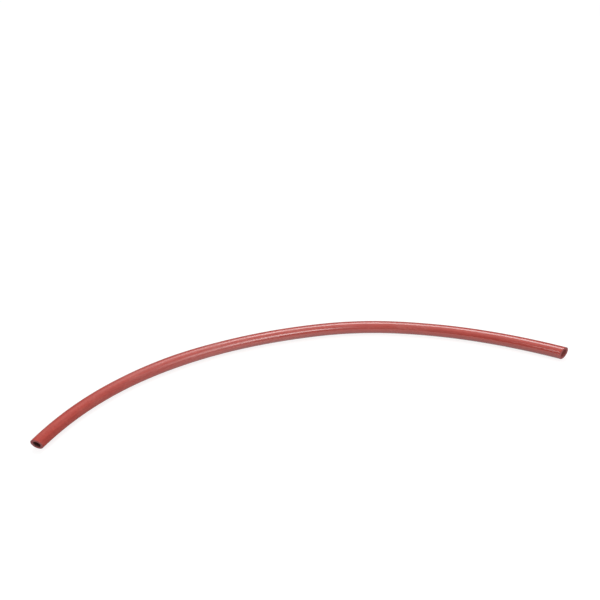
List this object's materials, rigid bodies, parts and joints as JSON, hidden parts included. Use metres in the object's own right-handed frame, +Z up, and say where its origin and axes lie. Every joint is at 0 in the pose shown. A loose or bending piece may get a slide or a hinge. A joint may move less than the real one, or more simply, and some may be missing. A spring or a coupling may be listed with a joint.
{
  "type": "rubber vacuum tubing",
  "caption": "Length of soft red rubber vacuum tubing with a round bore and slanted knife-cut ends, lying in a gentle bow.",
  "frame": {"origin": "on the floor under the middle of the bow, at the centre of the part's box", "axes": "+X from the left end to the right end, +Y to the outside of the bow, +Z up from the floor it lies on"},
  "size_m": [0.4311, 0.1022, 0.01],
  "materials": {
    "red_rubber": "satin"
  },
  "bodies": {
    "root": {"vacuum_tube": "red_rubber"}
  },
  "joints": []
}
